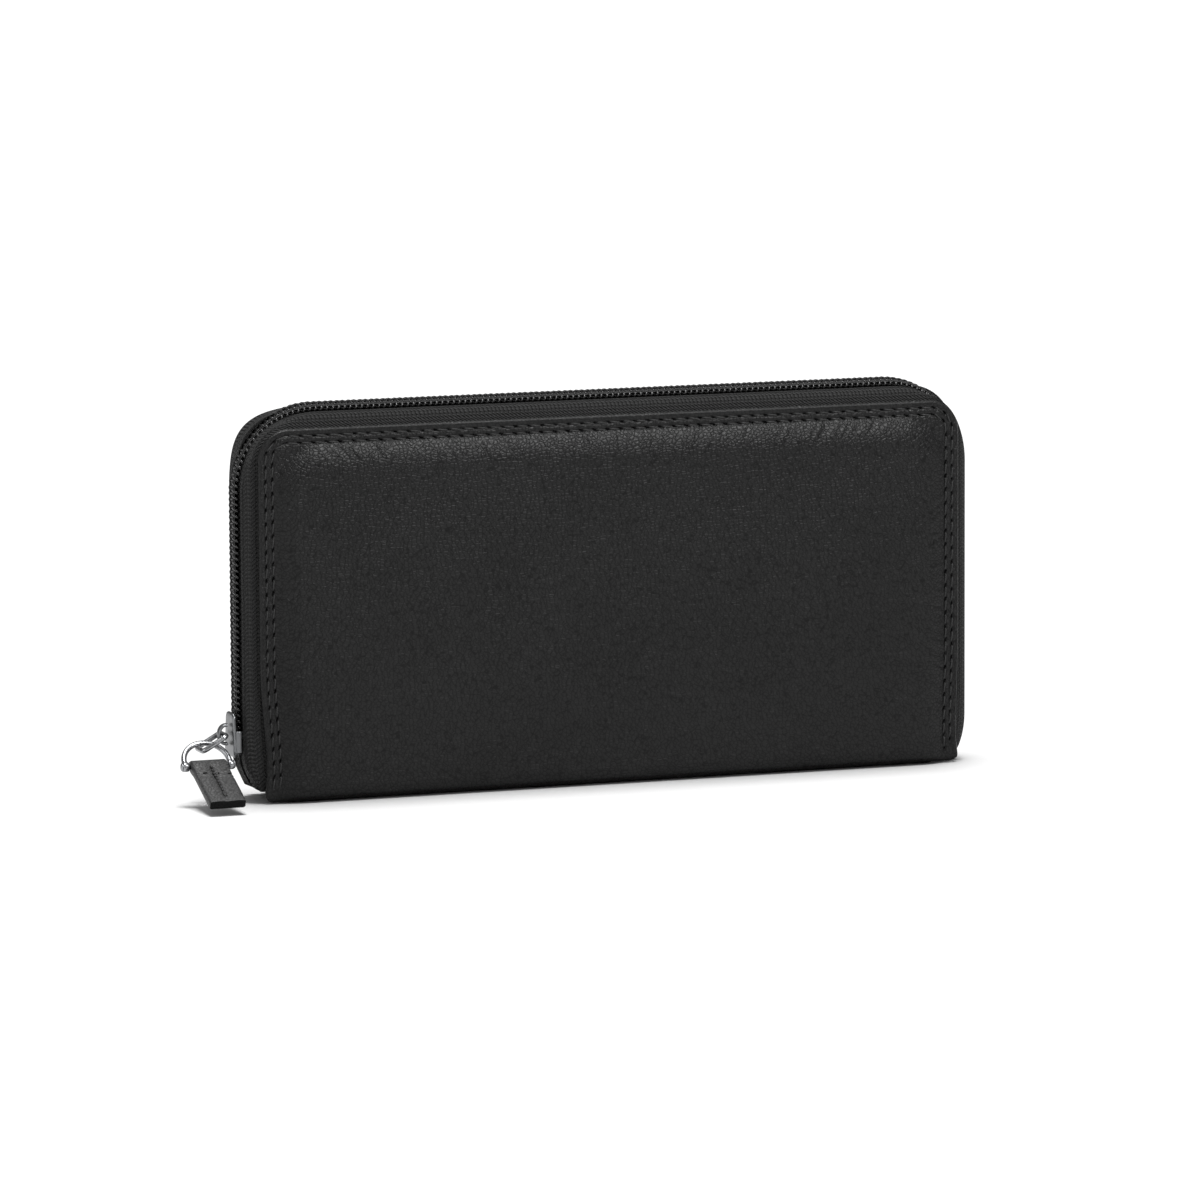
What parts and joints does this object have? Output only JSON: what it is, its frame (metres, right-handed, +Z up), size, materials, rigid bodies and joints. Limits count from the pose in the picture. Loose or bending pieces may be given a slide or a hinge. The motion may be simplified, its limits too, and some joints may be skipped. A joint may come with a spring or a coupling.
{
  "type": "zip-around long wallet",
  "caption": "Closed long wallet with padded leather covers, coil zip round three sides, slider with ring and leather pull tab, gussets, card pockets and a zipped coin pocket.",
  "frame": {"origin": "centre of the underside of the spine, on the table", "axes": "+X along the length to the closed end of the zip away from the slider, -Y out of the front cover, +Z up"},
  "size_m": [0.2099, 0.033, 0.0985],
  "materials": {
    "black_leather": "fine pebbled grain, satin",
    "inner_leather": "smooth, matt",
    "lining_fabric": "plain weave",
    "foam": "soft padding",
    "board": "stiff board",
    "thread": "twisted sewing thread",
    "zip_tape": "herringbone woven tape",
    "nylon_coil": "moulded coil",
    "silver_metal": "bright nickel plate"
  },
  "bodies": {
    "back_half": {"spine_strip": "black_leather", "spine_lining": "lining_fabric", "back_cover": "black_leather", "back_pad": "foam", "back_board": "board", "back_lining": "lining_fabric", "back_stitching": "thread", "back_zip_tape": "zip_tape", "back_zip_coil": "nylon_coil", "back_note_binding": "inner_leather", "back_card_panel": "inner_leather", "back_card_pocket_1": "inner_leather", "back_card_pocket_2": "inner_leather", "back_card_pocket_3": "inner_leather", "back_card_pocket_4": "inner_leather", "back_gusset_left": "lining_fabric", "back_gusset_right": "lining_fabric", "zip_end_stop": "silver_metal"},
    "front_half": {"front_cover": "black_leather", "front_pad": "foam", "front_board": "board", "front_lining": "lining_fabric", "front_stitching": "thread", "front_zip_tape": "zip_tape", "front_zip_coil": "nylon_coil", "front_note_binding": "inner_leather", "front_card_panel": "inner_leather", "front_card_pocket_1": "inner_leather", "front_card_pocket_2": "inner_leather", "front_card_pocket_3": "inner_leather", "front_card_pocket_4": "inner_leather", "front_gusset_left": "lining_fabric", "front_gusset_right": "lining_fabric"},
    "coin_pocket": {"coin_hinge_strip": "inner_leather", "coin_back_wall": "inner_leather", "coin_front_wall": "inner_leather", "coin_front_strip": "inner_leather", "coin_binding": "inner_leather", "coin_tape_lower": "zip_tape", "coin_tape_upper": "zip_tape", "coin_coil_lower": "nylon_coil", "coin_coil_upper": "nylon_coil", "coin_zip_stops": "silver_metal"},
    "coin_zip_slider": {"coin_slider": "silver_metal"},
    "coin_zip_pull": {"coin_pull": "silver_metal"},
    "slider": {"zip_slider": "silver_metal"},
    "link": {"pull_link": "silver_metal"},
    "ring": {"pull_ring": "silver_metal", "pull_pin": "silver_metal"},
    "tab": {"pull_tab": "black_leather", "pull_tab_stitch": "thread"}
  },
  "joints": [
    {"name": "cover_hinge", "type": "hinge", "parent": "back_half", "child": "front_half", "pos_m": [0, -0.009, 0.0014], "axis": [1, 0, 0], "range_deg": [0, 50], "deforming": ["back_gusset_left", "back_gusset_right", "front_gusset_left", "front_gusset_right", "front_zip_coil", "back_zip_coil"]},
    {"name": "coin_pocket_hinge", "type": "hinge", "parent": "back_half", "child": "coin_pocket", "pos_m": [0, 0, 0.0024], "axis": [1, 0, 0], "range_deg": [0, 25], "deforming": ["back_gusset_left", "back_gusset_right", "front_gusset_left", "front_gusset_right"]},
    {"name": "zip_slide", "type": "slide", "parent": "back_half", "child": "slider", "axis": [0, 0, 1], "range_m": [0, 0.055], "deforming": ["front_zip_coil", "back_zip_coil"]},
    {"name": "pull_link_swing", "type": "hinge", "parent": "slider", "child": "link", "pos_m": [-0.10005, 0, 0.0168], "axis": [0, 1, 0], "range_deg": [0, 65]},
    {"name": "pull_ring_swing", "type": "hinge", "parent": "link", "child": "ring", "pos_m": [-0.10561, 0, 0.01495], "axis": [-1, 0, 0], "range_deg": [0, 40]},
    {"name": "pull_tab_swing", "type": "hinge", "parent": "ring", "child": "tab", "pos_m": [-0.10561, -0.00495, 0.01], "axis": [-1, 0, 0], "range_deg": [0, 30]},
    {"name": "coin_zip_slide", "type": "slide", "parent": "coin_pocket", "child": "coin_zip_slider", "axis": [1, 0, 0], "range_m": [0, 0.13], "deforming": ["coin_coil_lower", "coin_coil_upper"]},
    {"name": "coin_pull_swing", "type": "hinge", "parent": "coin_zip_slider", "child": "coin_zip_pull", "pos_m": [-0.075, -0.0037, 0.075], "axis": [0, 0, -1], "range_deg": [0, 6]}
  ],
  "couplings": [
    {"joint": "coin_pocket_hinge", "follows": "cover_hinge", "ratio": 0.5}
  ]
}
